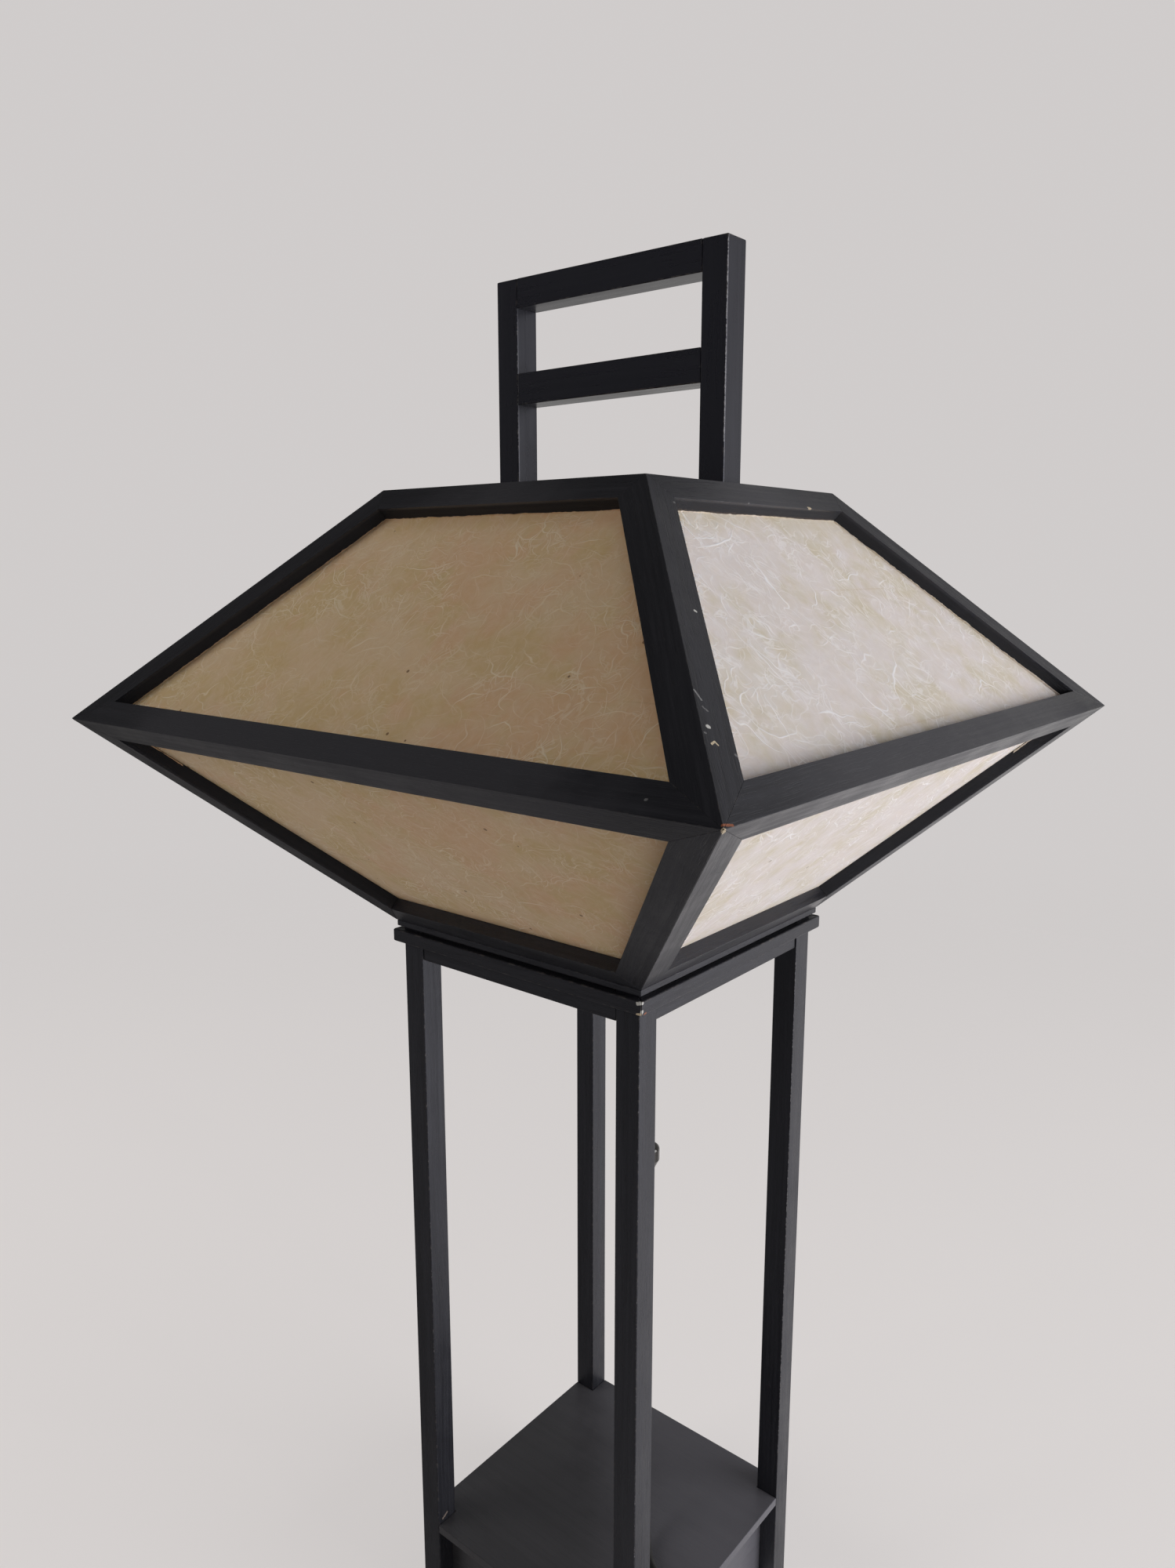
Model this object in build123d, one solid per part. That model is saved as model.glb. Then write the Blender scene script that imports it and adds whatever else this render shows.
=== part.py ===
"""Andon floor lamp: a square, double-sloped paper shade with a carrying handle, on an open stand.

Millimetres, +Z up. The origin is the centre of the stand's footprint, on the floor.
The front faces -Y and the right side +X.
"""

import math
import os

from build123d import *

# Stand
STAND_WIDTH = 185.0  # across the posts' outer faces
STAND_HEIGHT = 516.5
POST = 16.0  # a post's square section
RAIL_HEIGHT = 20.0
RAIL_INSET = 0.8  # a rail's outer face lies behind the posts' outer faces
SHOULDER_SLIT = 0.5  # open slit between a rail's shoulder and the post
TENON_THICKNESS = 6.0
TENON_SHOULDER = 4.0  # a rail's tenon is this much lower than the rail, above and below
TENON_APART = 0.4  # two tenons in one post stay this far apart
MOULDING_PROJECTION = 5.0
MOULDING_HEIGHT = 8.0
SHADOW_GAP = 2.0  # between the moulding and the shade

# Board on top of the stand, let into the rails
BOARD_PROUD = 3.0  # above the rails, inside the shade's foot frame
REBATE_WIDTH = 6.0
REBATE_DEPTH = 5.0
BOARD_PLAY = 0.3  # gap between the board's edge and the wood round it

# Shelf and base
SHELF_TOP = 85.0
SHELF_THICKNESS = 6.0
PANEL_THICKNESS = 4.0
PANEL_LIFT = 12.0  # gap between a base panel and the floor

# Shade
WAIST_WIDTH = 455.0
NECK_OVERHANG = 3.0  # at both ends of the shade, beyond the posts' outer faces
UPPER_RISE = 132.0
LOWER_RISE = 130.0
SLAT_WIDTH = 16.0
SLAT_THICKNESS = 8.2
PAPER_THICKNESS = 0.5
PAPER_LAP = 5.0  # the paper's glued edge on the back of a slat
FOOT_THICKNESS = 3.5
FOOT_PLAY = 0.7  # between the foot frame and the board inside it

# Handle
HANDLE_RISE = 128.0  # above the shade's top
HANDLE_FOOT = 18.0  # the posts' length below the shade's top
HANDLE_POST_WIDTH = 16.5
HANDLE_DEPTH = 18.0
TOP_BAR_HEIGHT = 17.0
MIDDLE_BAR_HEIGHT = 18.5
MIDDLE_BAR_DROP = 55.0  # from the handle's top to the top of its middle bar
HANDLE_TENON_LENGTH = 9.0
HANDLE_TENON_THICKNESS = 6.0
HANDLE_TENON_SHOULDER = 3.0
CLEAT_CLEARANCE = 1.6  # between a cleat and the paper under it
CLEAT_LENGTH = 40.0

# Lampholder, on the board
FLANGE_WIDTH = 7.0
FLANGE_THICKNESS = 4.0
CUP_WALL = 3.5
CHAMBER_LEDGE = 1.0  # the chamber under the shell is this much wider than the shell, all round
CHAMBER_HEIGHT = 16.0
INSERT_THICKNESS = 11.0
SHELL_WALL = 0.8
SHELL_FLOOR = 1.0
SHELL_PROUD = 1.0  # the shell stands above the cup's rim
CONTACT_RADIUS = 4.0
CONTACT_HEIGHT = 2.0
CONTACT_CLEARANCE = 1.5  # round the contact, in the shell's floor
SCREW_HEAD_GAP = 0.5  # between a screw's head and the cup
SCREW_HEAD_RADIUS = 2.9
SCREW_HEAD_HEIGHT = 1.8
SCREW_RADIUS = 1.5
SCREW_LENGTH = 10.0
SCREW_SLOT_WIDTH = 0.8
SCREW_SLOT_DEPTH = 0.9
SCREW_CLEARANCE = 0.2

# Pull switch
PULL_RADIUS = 26.3  # from the lamp's axis to the string
PULL_TURN = 45.0
ARM_WALL = 2.4  # round the bead's chamber
ARM_FLOOR = 5.0
ARM_ROOF = 2.1
BEAD_RADIUS = 2.5
BEAD_HEIGHT = 3.0
BEAD_CLEARANCE = 0.7
PULL_TRAVEL = 8.0
PULL_OVERRUN = 1.2  # room left under the bead at the end of its travel
STRING_DIAMETER = 2.0
STRING_CLEARANCE = 0.3  # in the arm
BOARD_STRING_CLEARANCE = 1.0
KNOB_TOP = 358.0
KNOB_DIAMETER = 15.0
KNOB_HEIGHT = 16.0
KNOB_TIP_DIAMETER = 9.0
KNOB_TAPER = 6.0
KNOB_ROUNDING = 3.0

# Bulb
BULB_DIAMETER = 60.0
BULB_LENGTH = 110.0
GLASS_WALL = 1.0
CAP_DIAMETER = 26.2
CAP_LENGTH = 27.0
CAP_CLEARANCE = 0.6  # between the cap and the shell
CAP_PROUD = 2.0  # the cap stands above the shell's rim
TIP_RADIUS = 4.5
TIP_HEIGHT = 1.0

# Mains cord
CORD_DIAMETER = 5.0
CORD_EXIT = (8.0, 6.0)
BUSH_NECK_RADIUS = 4.0
BUSH_NECK_PROUD = 2.0  # the neck's end above the board
BUSH_COLLAR_RADIUS = 7.5
BUSH_COLLAR_THICKNESS = 2.5
BUSH_RADIUS = 5.0
BUSH_TIP_RADIUS = 3.4
BUSH_LENGTH = 30.0
CORD_DROP = [
    (8.0, 6.0, 452.0),
    (10.8, 2.6, 408.0),
    (13.0, 3.2, 355.0),
    (11.6, 7.4, 300.0),
    (9.4, 8.2, 244.0),
    (11.4, 7.0, 196.0),
    (18.0, 8.4, 158.0),
    (25.5, 8.2, 127.0),
    (32.0, 3.0, 104.0),
    (40.5, -8.5, 91.0),
    (51.5, -22.5, 88.2),
]
CORD_OVER_THE_EDGE = [
    (66.0, -32.0, 88.2),
    (84.0, -38.5, 89.2),
    (103.0, -44.0, 85.5),
    (116.0, -48.5, 69.5),
    (119.5, -52.0, 49.0),
    (122.5, -55.0, 31.0),
    (129.5, -58.0, 15.0),
    (140.5, -60.5, 5.5),
]
COIL_CENTRE = (172.0, -27.0)
COIL_MEAN_RADIUS = 30.0
COIL_RINGS = 3
COIL_LAYERS = 2
COIL_ENTRY = 17.0  # the tube ends this far before the point where the coil's outer turn begins

# Plug
PLUG_BODY = (22.0, 30.0, 14.0)
PLUG_ROUNDING = 3.0
PLUG_TAIL_LENGTH = 20.0
PLUG_TAIL_RADIUS = 5.0
PLUG_TAIL_TIP = 3.0
BLADE = (1.5, 17.0, 6.3)
BLADE_SPACING = 12.7
PLUG_ASIDE = 2.0  # the plug's axis lies this far outside the coil's outer turn
PLUG_REAR = 36.0  # from the coil's centre to the body's rear face, along Y

# Levels, from the floor up
shade_foot_top = STAND_HEIGHT + FOOT_THICKNESS
waist_level = shade_foot_top + LOWER_RISE
shade_top = waist_level + UPPER_RISE
handle_top = shade_top + HANDLE_RISE
board_bottom = STAND_HEIGHT - REBATE_DEPTH
board_top = STAND_HEIGHT + BOARD_PROUD
insert_top = board_top + CHAMBER_HEIGHT
contact_top = insert_top + CONTACT_HEIGHT
neck_level = contact_top + CAP_LENGTH
shell_top = neck_level - CAP_PROUD
cup_top = shell_top - SHELL_PROUD

# Half widths, from the lamp's axis
post_outside = STAND_WIDTH / 2
post_inside = post_outside - POST
rail_outside = post_outside - RAIL_INSET
board_half = post_inside + REBATE_WIDTH - BOARD_PLAY
foot_inside = board_half + FOOT_PLAY
waist_half = WAIST_WIDTH / 2
neck_half = post_outside + NECK_OVERHANG
slope_run = waist_half - neck_half
neck_inside = neck_half - SLAT_THICKNESS * math.hypot(slope_run, UPPER_RISE) / UPPER_RISE
handle_inside = neck_inside - HANDLE_POST_WIDTH

SIDES = {"front": 0, "right": 90, "back": 180, "left": 270}
CORNERS = {"front_right": 0, "back_right": 90, "back_left": 180, "front_left": 270}


def turned(shape, angle):
    """The shape, turned about the lamp's axis."""
    return Rot(0, 0, angle) * shape


def block(low, high):
    """A box between two opposite corners."""
    size = [b - a for a, b in zip(low, high)]
    centre = [(a + b) / 2 for a, b in zip(low, high)]
    return Pos(*centre) * Box(*size)


def rod(radius, low, high, at=(0.0, 0.0)):
    """An upright cylinder between two levels."""
    return Pos(at[0], at[1], (low + high) / 2) * Cylinder(radius, high - low)


def prism(points, low, high):
    """An upright prism on a polygon in plan."""
    return extrude(Pos(0, 0, low) * Polygon(*points), amount=high - low, dir=(0, 0, 1))


def write(name, *shapes):
    """One STEP file for a node, with all of its solids."""
    solids = [solid for shape in shapes for solid in shape.solids()]
    export_step(solids[0] if len(solids) == 1 else Compound(solids), f"parts/{name}.step")


# Shade ---------------------------------------------------------------------------------------


def slope_plane(rise):
    """The front slope's outer face: Y runs from the waist to a neck, Z points outwards."""
    up = 1 if rise > 0 else -1
    return Plane(
        origin=(0, -waist_half, waist_level),
        x_dir=(up, 0, 0),
        z_dir=(0, -abs(rise), up * slope_run),
    )


def front_room(rise):
    """All the space that belongs to the front slope, between the mitres of its four edges."""
    reach = WAIST_WIDTH
    low, high = sorted((waist_level, waist_level + rise))
    return prism([(0, 0), (-reach, -reach), (reach, -reach)], low, high)


def inset_corners(rise, inset):
    """Corners of the front slope's outline moved inwards, anticlockwise from the waist's left end."""
    length = math.hypot(slope_run, rise)
    slant = math.hypot(slope_run, length) / length

    def half_width(height):
        return waist_half - slope_run * height / length - inset * slant

    low, high = inset, length - inset
    return [
        (-half_width(low), low),
        (half_width(low), low),
        (half_width(high), high),
        (-half_width(high), high),
    ]


def slope_sheet(rise, points, depth, thickness):
    """A flat piece of the front slope, its outer side at a depth behind the slope's face."""
    plane = slope_plane(rise)
    face = plane.offset(-depth) * Polygon(*points)
    return extrude(face, amount=thickness, dir=-plane.z_dir)


def slope_slats(rise):
    """The front slope's four slats: waist rail, right stile, neck rail and left stile."""
    outer = inset_corners(rise, 0)
    inner = inset_corners(rise, SLAT_WIDTH)
    beyond = [(2 * a - c, 2 * b - d) for (a, b), (c, d) in zip(outer, inner)]
    slats = []
    for i in range(4):
        j = (i + 1) % 4
        outline = [inner[i], beyond[i], beyond[j], inner[j]]
        slats.append(slope_sheet(rise, outline, 0, SLAT_THICKNESS) & front_room(rise))
    return slats


def write_slopes(name, rise, neck_rail_name):
    """The frames and papers of the four upper or lower slopes. Returns the waist rails."""
    waist_rail, right_stile, neck_rail, left_stile = slope_slats(rise)
    if rise < 0:
        right_stile, left_stile = left_stile, right_stile
    next_stile = turned(left_stile, 90)
    paper = slope_sheet(rise, inset_corners(rise, SLAT_WIDTH - PAPER_LAP), SLAT_THICKNESS, PAPER_THICKNESS)
    for corner, angle in CORNERS.items():
        write(f"{name}_hip_{corner}", turned(right_stile, angle), turned(next_stile, angle))
    for side, angle in SIDES.items():
        write(f"{neck_rail_name}_{side}", turned(neck_rail, angle))
        write(f"paper_{name}_{side}", turned(paper, angle))
    return waist_rail


def write_foot_frame():
    """Four mitred strips under the bottom rails; they rest on the stand round its board."""
    outline = [
        (-neck_half, -neck_half),
        (neck_half, -neck_half),
        (foot_inside, -foot_inside),
        (-foot_inside, -foot_inside),
    ]
    strip = prism(outline, STAND_HEIGHT, shade_foot_top)
    write("shade_foot_frame", *[turned(strip, angle) for angle in SIDES.values()])


def handle_bar(top, height):
    """A bar between the handle's posts, and its two tenons."""
    shoulder = HANDLE_TENON_SHOULDER
    bar = block((-handle_inside, -HANDLE_DEPTH / 2, top - height), (handle_inside, HANDLE_DEPTH / 2, top))
    reach = handle_inside + HANDLE_TENON_LENGTH
    tenons = block(
        (-reach, -HANDLE_TENON_THICKNESS / 2, top - height + shoulder),
        (reach, HANDLE_TENON_THICKNESS / 2, top - shoulder),
    )
    return bar + tenons


def write_handle():
    """The ladder-shaped handle, and the glue blocks that carry it behind the top rails."""
    half_depth = HANDLE_DEPTH / 2
    top_bar = handle_bar(handle_top, TOP_BAR_HEIGHT)
    middle_bar = handle_bar(handle_top - MIDDLE_BAR_DROP, MIDDLE_BAR_HEIGHT)
    post = block(
        (handle_inside, -half_depth, shade_top - HANDLE_FOOT),
        (neck_inside, half_depth, handle_top),
    )
    post = post - top_bar - middle_bar
    slope = math.hypot(slope_run, UPPER_RISE)
    paper_drop = ((SLAT_WIDTH - PAPER_LAP) * UPPER_RISE + SLAT_THICKNESS * slope_run) / slope
    height = paper_drop - CLEAT_CLEARANCE
    wedge = Polygon(
        (neck_inside, shade_top),
        (neck_inside, shade_top - height),
        (neck_inside + height * slope_run / UPPER_RISE, shade_top - height),
    )
    cleat = extrude(Plane.XZ.offset(CLEAT_LENGTH / 2) * wedge, amount=CLEAT_LENGTH, dir=(0, 1, 0))
    write("handle_post_right", post)
    write("handle_post_left", turned(post, 180))
    write("handle_top_bar", top_bar)
    write("handle_middle_bar", middle_bar)
    write("handle_cleats", cleat, turned(cleat, 180))


def write_shade():
    upper_waist_rail = write_slopes("upper", UPPER_RISE, "top_rail")
    lower_waist_rail = write_slopes("lower", -LOWER_RISE, "bottom_rail")
    for side, angle in SIDES.items():
        write(f"waist_rails_{side}", turned(upper_waist_rail, angle), turned(lower_waist_rail, angle))
    write_foot_frame()
    write_handle()


# Stand ---------------------------------------------------------------------------------------


def rail_tenons():
    """The front rail's two tenons, as one bar through the rail."""
    middle = -(rail_outside + post_inside) / 2
    reach = -middle - TENON_THICKNESS / 2 - TENON_APART
    return block(
        (-reach, middle - TENON_THICKNESS / 2, STAND_HEIGHT - RAIL_HEIGHT + TENON_SHOULDER),
        (reach, middle + TENON_THICKNESS / 2, board_bottom - TENON_SHOULDER),
    )


def write_posts_and_rails():
    """Posts with their mortises, and the rails between their tops, rebated for the board."""
    tenons = rail_tenons()
    shoulder = post_inside - SHOULDER_SLIT
    rail = block(
        (-shoulder, -rail_outside, STAND_HEIGHT - RAIL_HEIGHT),
        (shoulder, -post_inside, STAND_HEIGHT),
    )
    rebate = block(
        (-shoulder, -post_inside - REBATE_WIDTH, board_bottom),
        (shoulder, -post_inside, STAND_HEIGHT),
    )
    rail = rail - rebate + tenons
    post = block((post_inside, -post_outside, 0), (post_outside, -post_inside, STAND_HEIGHT))
    post = post - tenons - turned(tenons, 90)
    for side, angle in SIDES.items():
        write(f"stand_rail_{side}", turned(rail, angle))
    for corner, angle in CORNERS.items():
        write(f"stand_post_{corner}", turned(post, angle))


def write_mouldings():
    """Four mitred strips planted on the posts, a shadow gap under the shade."""
    outside = post_outside + MOULDING_PROJECTION
    outline = [
        (-outside, -outside),
        (outside, -outside),
        (post_outside, -post_outside),
        (-post_outside, -post_outside),
    ]
    top = STAND_HEIGHT - SHADOW_GAP
    strip = prism(outline, top - MOULDING_HEIGHT, top)
    write("cap_mouldings", *[turned(strip, angle) for angle in SIDES.values()])


def write_base():
    """The shelf, notched round the posts, on four panels between the posts."""
    bottom = SHELF_TOP - SHELF_THICKNESS
    shelf = block((-post_outside, -post_outside, bottom), (post_outside, post_outside, SHELF_TOP))
    notch = block((post_inside, -post_outside, bottom), (post_outside, -post_inside, SHELF_TOP))
    panel = block(
        (-post_inside, -post_inside - PANEL_THICKNESS, PANEL_LIFT),
        (post_inside, -post_inside, bottom),
    )
    for angle in CORNERS.values():
        shelf = shelf - turned(notch, angle)
    write("shelf", shelf)
    for side, angle in SIDES.items():
        write(f"base_panel_{side}", turned(panel, angle))


def write_board():
    """The board in the rails' rebate, notched round the posts and drilled for cord, string and screws."""
    board = block((-board_half, -board_half, board_bottom), (board_half, board_half, board_top))
    notched = post_inside - BOARD_PLAY
    notch = block((notched, -board_half, board_bottom), (board_half, -notched, board_top))
    for angle in CORNERS.values():
        board = board - turned(notch, angle)
    board = board - rod(BUSH_NECK_RADIUS, board_bottom, board_top, CORD_EXIT)
    board = board - rod(board_string_hole, board_bottom, board_top, pull_place)
    board = board - screw_shanks(SCREW_RADIUS)
    write("top_board", board)


# Lampholder ----------------------------------------------------------------------------------

pull_angle = math.radians(PULL_TURN)
pull_place = (PULL_RADIUS * math.cos(pull_angle), PULL_RADIUS * math.sin(pull_angle))
shell_radius = CAP_DIAMETER / 2 + CAP_CLEARANCE + SHELL_WALL
cup_chamber = shell_radius + CHAMBER_LEDGE
cup_radius = cup_chamber + CUP_WALL
string_hole = STRING_DIAMETER / 2 + STRING_CLEARANCE
board_string_hole = STRING_DIAMETER / 2 + BOARD_STRING_CLEARANCE
bead_chamber = BEAD_RADIUS + BEAD_CLEARANCE
bead_bottom = board_top + ARM_FLOOR + PULL_OVERRUN + PULL_TRAVEL
bead_top = bead_bottom + BEAD_HEIGHT
screw_circle = cup_radius + SCREW_HEAD_GAP + SCREW_HEAD_RADIUS
screw_places = [
    (screw_circle * math.cos(angle), screw_circle * math.sin(angle))
    for angle in (pull_angle + math.pi / 2, pull_angle - math.pi / 2)
]


def screw_shanks(radius):
    """The two screws' shanks, or with a larger radius the holes round them."""
    top = board_top + FLANGE_THICKNESS
    return rod(radius, top - SCREW_LENGTH, top, screw_places[0]) + rod(
        radius, top - SCREW_LENGTH, top, screw_places[1]
    )


def write_cup():
    """The moulded cup with its flange, and the arm that holds the pull switch."""
    cup = rod(cup_radius + FLANGE_WIDTH, board_top, board_top + FLANGE_THICKNESS)
    cup = cup + rod(cup_radius, board_top, cup_top)
    half_width = bead_chamber + ARM_WALL
    chamber_top = bead_top + BEAD_CLEARANCE
    arm = block(
        (0, -half_width, board_top),
        (PULL_RADIUS + half_width, half_width, chamber_top + ARM_ROOF),
    )
    cup = cup + turned(arm, PULL_TURN)
    cup = cup - rod(cup_chamber, board_top, insert_top)
    cup = cup - rod(shell_radius, insert_top, cup_top)
    cup = cup - rod(bead_chamber, board_top + ARM_FLOOR, chamber_top, pull_place)
    cup = cup - rod(string_hole, board_top, board_top + ARM_FLOOR, pull_place)
    cup = cup - screw_shanks(SCREW_RADIUS + SCREW_CLEARANCE)
    write("lampholder_cup", cup)


def write_insert_and_shell():
    """The insulating insert with its centre contact, and the threaded shell that takes the bulb."""
    insert = rod(cup_chamber, insert_top - INSERT_THICKNESS, insert_top)
    contact = rod(CONTACT_RADIUS, insert_top, contact_top)
    shell = rod(shell_radius, insert_top, shell_top)
    shell = shell - rod(shell_radius - SHELL_WALL, insert_top + SHELL_FLOOR, shell_top)
    shell = shell - rod(CONTACT_RADIUS + CONTACT_CLEARANCE, insert_top, insert_top + SHELL_FLOOR)
    write("lampholder_insert", insert, contact)
    write("lampholder_shell", shell)


def write_screws():
    """Two slotted screws through the flange into the board."""
    top = board_top + FLANGE_THICKNESS
    head_top = top + SCREW_HEAD_HEIGHT
    screws = screw_shanks(SCREW_RADIUS)
    for x, y in screw_places:
        head = rod(SCREW_HEAD_RADIUS, top, head_top, (x, y))
        slot = block(
            (x - SCREW_HEAD_RADIUS, y - SCREW_SLOT_WIDTH / 2, head_top - SCREW_SLOT_DEPTH),
            (x + SCREW_HEAD_RADIUS, y + SCREW_SLOT_WIDTH / 2, head_top),
        )
        screws = screws + (head - slot)
    write("lampholder_screws", screws)


def bulb_body(radius, neck_radius, bottom, centre_level):
    """A round bulb whose neck is a cone that meets the globe without a corner."""
    distance = math.hypot(neck_radius, centre_level - bottom)
    lean = math.atan2(bottom - centre_level, neck_radius) + math.acos(radius / distance)
    meeting = (radius * math.cos(lean), centre_level + radius * math.sin(lean))
    crown = (0, centre_level + radius)
    middle_angle = (lean + math.pi / 2) / 2
    middle = (radius * math.cos(middle_angle), centre_level + radius * math.sin(middle_angle))
    neck = Polyline(crown, (0, bottom), (neck_radius, bottom), meeting)
    globe = ThreePointArc(meeting, middle, crown)
    return revolve(Plane.XZ * make_face(Curve() + neck + globe), Axis.Z)


def write_bulb():
    """A hollow glass bulb on its screw cap, standing on the centre contact."""
    centre_level = contact_top + BULB_LENGTH - BULB_DIAMETER / 2
    radius = BULB_DIAMETER / 2
    outside = bulb_body(radius, CAP_DIAMETER / 2, neck_level, centre_level)
    hollow = bulb_body(
        radius - GLASS_WALL, CAP_DIAMETER / 2 - GLASS_WALL, neck_level + GLASS_WALL, centre_level
    )
    cap = rod(CAP_DIAMETER / 2, contact_top + TIP_HEIGHT, neck_level)
    cap = cap + rod(TIP_RADIUS, contact_top, contact_top + TIP_HEIGHT)
    write("bulb", outside - hollow, cap)


def write_pull():
    """The string with the bead that works the switch, and the turned knob at its end."""
    string = rod(STRING_DIAMETER / 2, KNOB_TOP, bead_bottom, pull_place)
    string = string + rod(BEAD_RADIUS, bead_bottom, bead_top, pull_place)
    body_bottom = KNOB_TOP - KNOB_HEIGHT + KNOB_TAPER
    body = rod(KNOB_DIAMETER / 2, body_bottom, KNOB_TOP, pull_place)
    body = fillet(body.edges().group_by(Axis.Z)[-1], KNOB_ROUNDING)
    taper = Pos(*pull_place, body_bottom - KNOB_TAPER / 2) * Cone(
        KNOB_TIP_DIAMETER / 2, KNOB_DIAMETER / 2, KNOB_TAPER
    )
    write("pull_string", string)
    write("pull_knob", body + taper)


# Mains cord ----------------------------------------------------------------------------------


def write_bush():
    """The tapered strain relief: neck through the board, collar under it, tail round the cord."""
    collar_bottom = board_bottom - BUSH_COLLAR_THICKNESS
    bush = rod(BUSH_NECK_RADIUS, board_bottom, board_top + BUSH_NECK_PROUD, CORD_EXIT)
    bush = bush + rod(BUSH_COLLAR_RADIUS, collar_bottom, board_bottom, CORD_EXIT)
    tail_length = BUSH_LENGTH - BUSH_COLLAR_THICKNESS
    tail = Pos(*CORD_EXIT, collar_bottom - tail_length / 2) * Cone(BUSH_TIP_RADIUS, BUSH_RADIUS, tail_length)
    write("cord_bush", bush + tail)


def cord_tube(points):
    """A cord on straight runs and tangent arcs, each arc as large as its two runs allow."""
    points = [Vector(*point) for point in points]
    runs = [after - before for before, after in zip(points, points[1:])]
    radii = []
    for before, after in zip(runs, runs[1:]):
        half_turn = math.radians(before.get_angle(after)) / 2
        radii.append(0.45 * min(before.length, after.length) / math.tan(half_turn))
    path = FilletPolyline(*points, radius=radii)
    section = Plane(origin=path @ 0, z_dir=path % 0) * Circle(CORD_DIAMETER / 2)
    print("cord radii in diameters:", [round(radius / CORD_DIAMETER, 1) for radius in radii])
    print("cord runs:", [round(run.length, 1) for run in runs])
    return sweep(section, path=path), path.length


def write_cord():
    """The cord down to its coil on the floor, the coil, and the plug beside it."""
    bush_end = board_bottom - BUSH_LENGTH
    outer_turn = COIL_MEAN_RADIUS + CORD_DIAMETER * (COIL_RINGS - 1) / 2
    x, y = COIL_CENTRE
    start = (*CORD_EXIT, bush_end)
    end = (x - COIL_ENTRY, y - outer_turn, CORD_DIAMETER / 2)
    tube, length = cord_tube([start, *CORD_DROP, *CORD_OVER_THE_EDGE, end])
    section = math.pi * CORD_DIAMETER**2 / 4
    print(f"cord tube {length:.0f} mm, volume / (section x length) {tube.volume / section / length:.5f}")
    turns_length = 2 * math.pi * (COIL_MEAN_RADIUS * COIL_RINGS * COIL_LAYERS + outer_turn / 4)
    to_plug = PLUG_REAR - PLUG_TAIL_LENGTH
    print(f"cord with its coil {length + COIL_ENTRY + turns_length + to_plug:.0f} mm")
    height = CORD_DIAMETER * COIL_LAYERS
    coil = rod(outer_turn + CORD_DIAMETER / 2, 0, height, COIL_CENTRE)
    coil = coil - rod(outer_turn - CORD_DIAMETER * (COIL_RINGS - 0.5), 0, height, COIL_CENTRE)
    write("power_cord", tube)
    write("cord_coil", coil)
    write_plug(x + outer_turn + PLUG_ASIDE, y + PLUG_REAR)


def write_plug(x, rear):
    """A two-blade plug lying flat, its tapered tail towards the coil."""
    width, length, height = PLUG_BODY
    body = Pos(x, rear + length / 2, height / 2) * Box(width, length, height)
    body = fillet(body.edges().filter_by(Axis.Y), PLUG_ROUNDING)
    tail = Plane(origin=(x, rear, height / 2), z_dir=(0, -1, 0)) * (
        Pos(0, 0, PLUG_TAIL_LENGTH / 2) * Cone(PLUG_TAIL_RADIUS, PLUG_TAIL_TIP, PLUG_TAIL_LENGTH)
    )
    plug = body + tail
    thickness, reach, blade_height = BLADE
    for side in (-1, 1):
        centre = (x + side * BLADE_SPACING / 2, rear + length + reach / 2, height / 2)
        plug = plug + Pos(*centre) * Box(thickness, reach, blade_height)
    write("plug", plug)


def main():
    os.makedirs("parts", exist_ok=True)
    write_shade()
    write_posts_and_rails()
    write_mouldings()
    write_base()
    write_board()
    write_cup()
    write_insert_and_shell()
    write_screws()
    write_bulb()
    write_pull()
    write_bush()
    write_cord()


main()
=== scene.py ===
"""Andon floor lamp: camera, cords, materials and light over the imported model.

Metres, +Z up, in the CAD's frame: the front faces -Y and the right side +X.
"""

import math

import bmesh
import bpy
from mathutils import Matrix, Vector, noise


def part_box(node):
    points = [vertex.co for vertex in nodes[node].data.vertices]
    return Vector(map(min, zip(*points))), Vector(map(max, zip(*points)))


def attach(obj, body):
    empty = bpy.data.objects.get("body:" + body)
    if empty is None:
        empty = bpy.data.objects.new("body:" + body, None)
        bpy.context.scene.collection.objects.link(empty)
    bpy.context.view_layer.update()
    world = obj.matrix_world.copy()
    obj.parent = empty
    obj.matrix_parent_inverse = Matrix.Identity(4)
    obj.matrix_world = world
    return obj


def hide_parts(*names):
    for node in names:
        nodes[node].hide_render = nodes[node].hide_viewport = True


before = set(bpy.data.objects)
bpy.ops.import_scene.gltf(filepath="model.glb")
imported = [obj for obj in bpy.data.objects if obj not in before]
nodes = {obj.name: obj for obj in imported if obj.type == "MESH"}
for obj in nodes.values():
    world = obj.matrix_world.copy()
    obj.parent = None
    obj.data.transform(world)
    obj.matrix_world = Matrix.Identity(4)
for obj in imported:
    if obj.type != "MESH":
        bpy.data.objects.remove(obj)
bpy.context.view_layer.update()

SIDES = ("front", "right", "back", "left")
CORNERS = {"front_right": (1, -1), "back_right": (1, 1), "back_left": (-1, 1), "front_left": (-1, -1)}

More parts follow.
